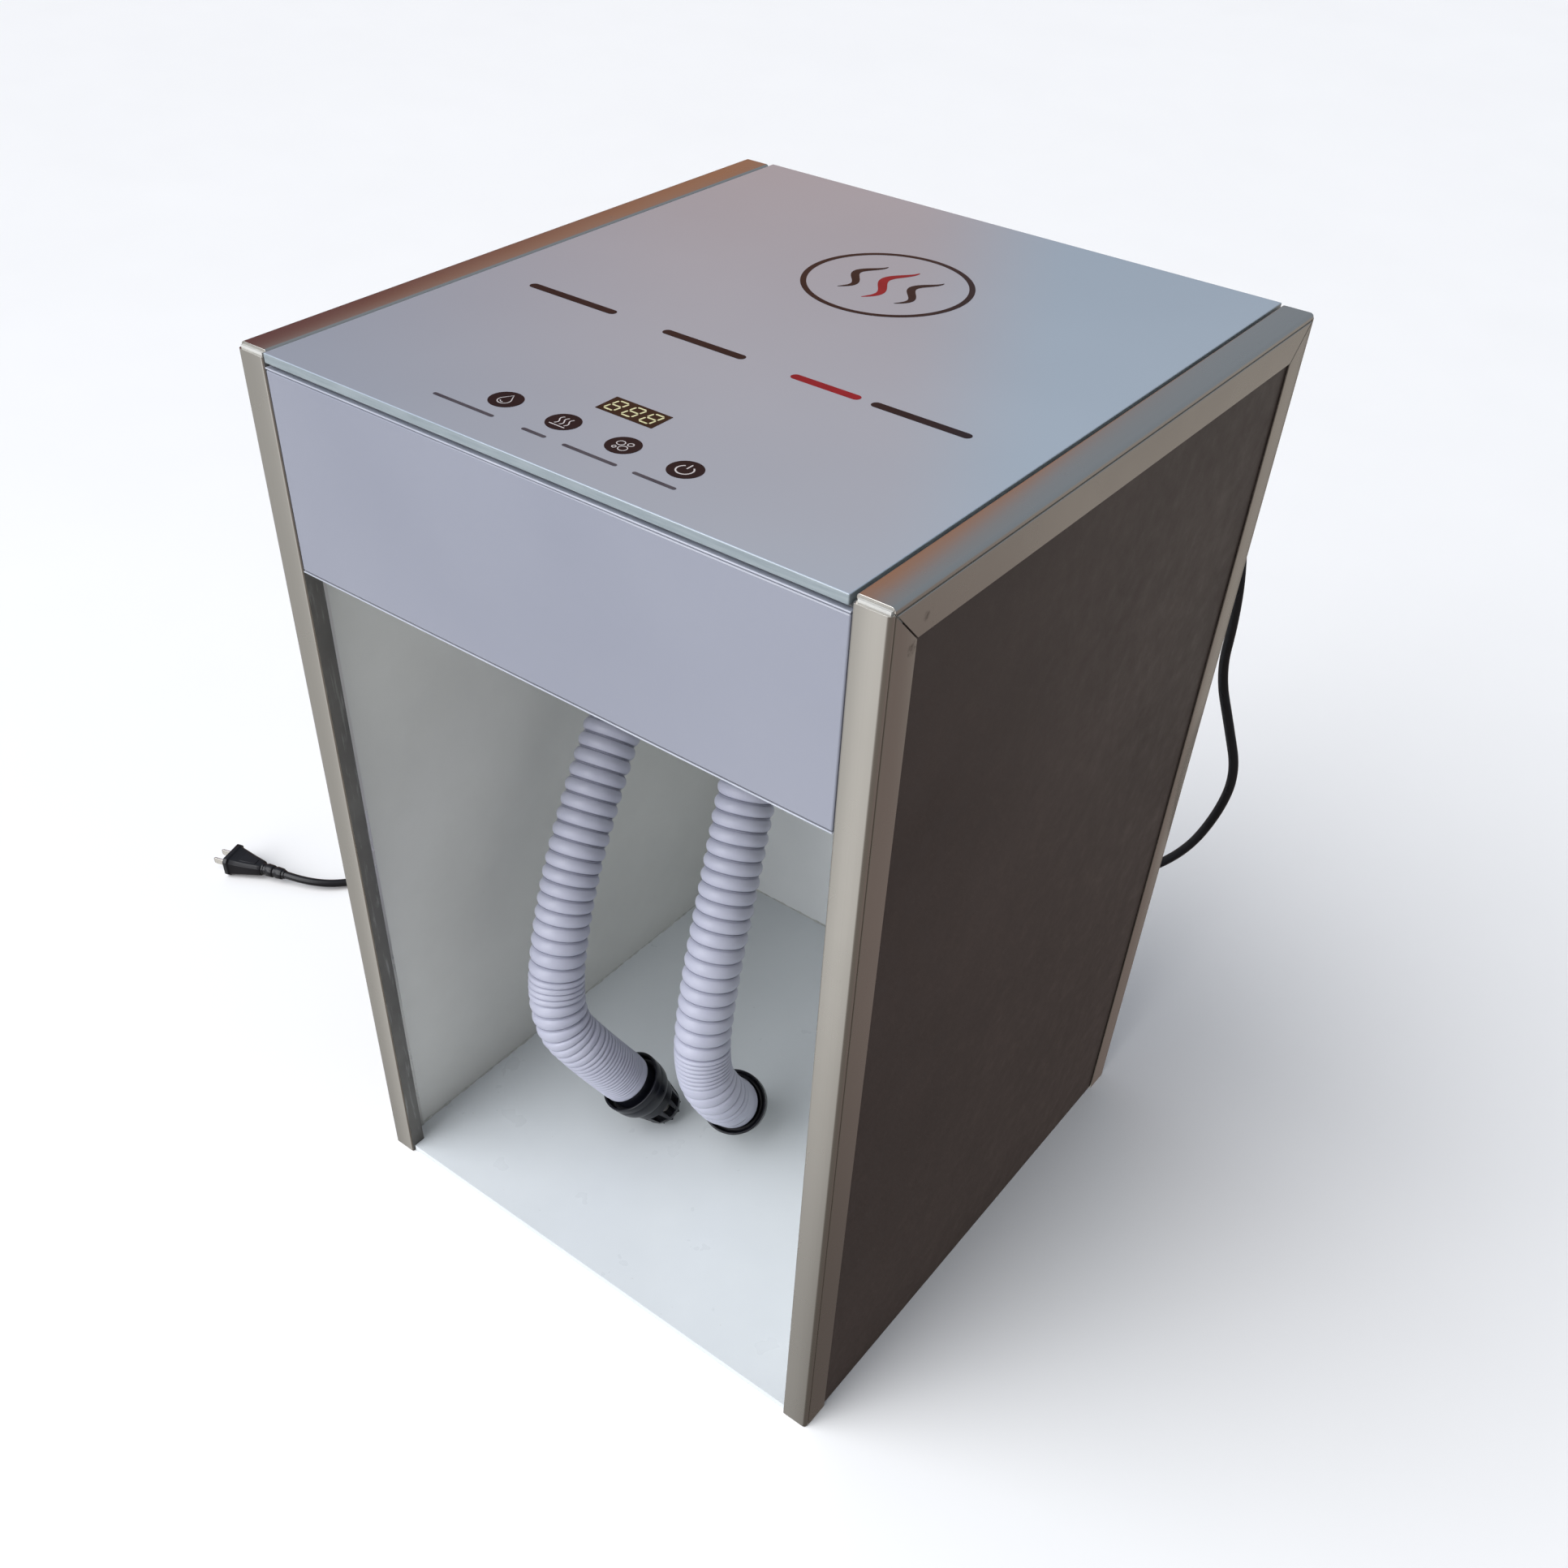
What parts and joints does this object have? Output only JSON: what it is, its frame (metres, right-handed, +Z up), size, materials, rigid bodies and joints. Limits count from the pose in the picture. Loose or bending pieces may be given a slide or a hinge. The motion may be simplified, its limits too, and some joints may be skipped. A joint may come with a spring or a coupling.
{
  "type": "warm_air_footwear_dryer",
  "caption": "Open-front footwear drying cabinet with a glass control top, extruded metal trims, hanging ribbed warm-air hoses with slotted nozzles, and a mains cord",
  "frame": {"origin": "centre of the cabinet footprint on the floor, cord set aside", "axes": "+X to the right seen from the open front, +Y to the back, +Z up"},
  "size_m": [0.7984, 0.5336, 0.623],
  "materials": {
    "white_panel": "smooth white board, gloss outside",
    "brown_panel": "very dark brown faced board, white inside",
    "champagne_trim": "satin anodised champagne grey",
    "white_glass": "toughened glass, white painted underside",
    "dark_tape": "matt black foam tape",
    "black_plastic": "satin black moulding",
    "grey_hose": "light grey ribbed flexible tube",
    "black_cord": "black flexible jacket",
    "pin_metal": "nickel plated brass",
    "housing_plastic": "moulded plastic, unpainted",
    "motor_steel": "zinc plated steel",
    "heater_metal": "bare aluminium fins",
    "board_green": "glass fibre circuit board",
    "part_dark": "mixed electronic parts",
    "screw_steel": "zinc plated screws"
  },
  "bodies": {
    "cabinet": {"base_panel": "white_panel", "ceiling_panel": "white_panel", "side_panel_left": "brown_panel", "side_panel_right": "brown_panel", "back_panel": "white_panel", "front_fascia": "white_panel", "glass_top": "white_glass", "trim_front_left": "champagne_trim", "trim_rear_left": "champagne_trim", "trim_top_left": "champagne_trim", "trim_front_right": "champagne_trim", "trim_rear_right": "champagne_trim", "trim_top_right": "champagne_trim", "corner_keys": "black_plastic", "glass_frame": "white_panel", "glass_tape": "dark_tape", "blower_housing": "housing_plastic", "blower_lid": "housing_plastic", "blower_motor": "motor_steel", "motor_screws": "screw_steel", "blower_feet": "dark_tape", "heater_duct": "housing_plastic", "heater_core": "heater_metal", "thermal_cutout": "motor_steel", "air_manifold": "housing_plastic", "hose_socket_left": "black_plastic", "hose_socket_right": "black_plastic", "board_standoffs": "housing_plastic", "power_board": "board_green", "board_parts": "part_dark", "touch_bracket": "motor_steel", "touch_board": "board_green", "display_module": "part_dark", "touch_springs": "motor_steel", "sanitiser_unit": "housing_plastic", "intake_grille": "black_plastic", "back_screws": "screw_steel", "power_cord": "black_cord", "cord_gland": "black_plastic", "plug_body": "black_plastic", "plug_prongs": "pin_metal"},
    "impeller_body": {"impeller": "housing_plastic"},
    "left_hose": {"hose_left": "grey_hose"},
    "right_hose": {"hose_right": "grey_hose"},
    "left_nozzle": {"nozzle_collar_left": "black_plastic", "nozzle_cage_left": "black_plastic"},
    "right_nozzle": {"nozzle_collar_right": "black_plastic", "nozzle_cage_right": "black_plastic"}
  },
  "joints": [
    {"name": "impeller_spin", "type": "hinge", "parent": "cabinet", "child": "impeller_body", "pos_m": [0.144, -0.004, 0.54], "axis": [0, 0, 1], "continuous": true},
    {"name": "left_hose_swivel", "type": "hinge", "parent": "cabinet", "child": "left_hose", "pos_m": [-0.11, 0.04, 0.492], "axis": [0, 0, 1], "range_deg": [-25, 8]},
    {"name": "right_hose_swivel", "type": "hinge", "parent": "cabinet", "child": "right_hose", "pos_m": [-0.006, 0.04, 0.492], "axis": [0, 0, 1], "range_deg": [-8, 30]},
    {"name": "left_nozzle_twist", "type": "hinge", "parent": "left_hose", "child": "left_nozzle", "pos_m": [-0.06422, -0.08509, 0.05619], "axis": [0.3014, 0.4825, -0.8224], "continuous": true},
    {"name": "right_nozzle_twist", "type": "hinge", "parent": "right_hose", "child": "right_nozzle", "pos_m": [0.00926, -0.04944, 0.05367], "axis": [-0.231, 0.6258, -0.745], "continuous": true}
  ]
}
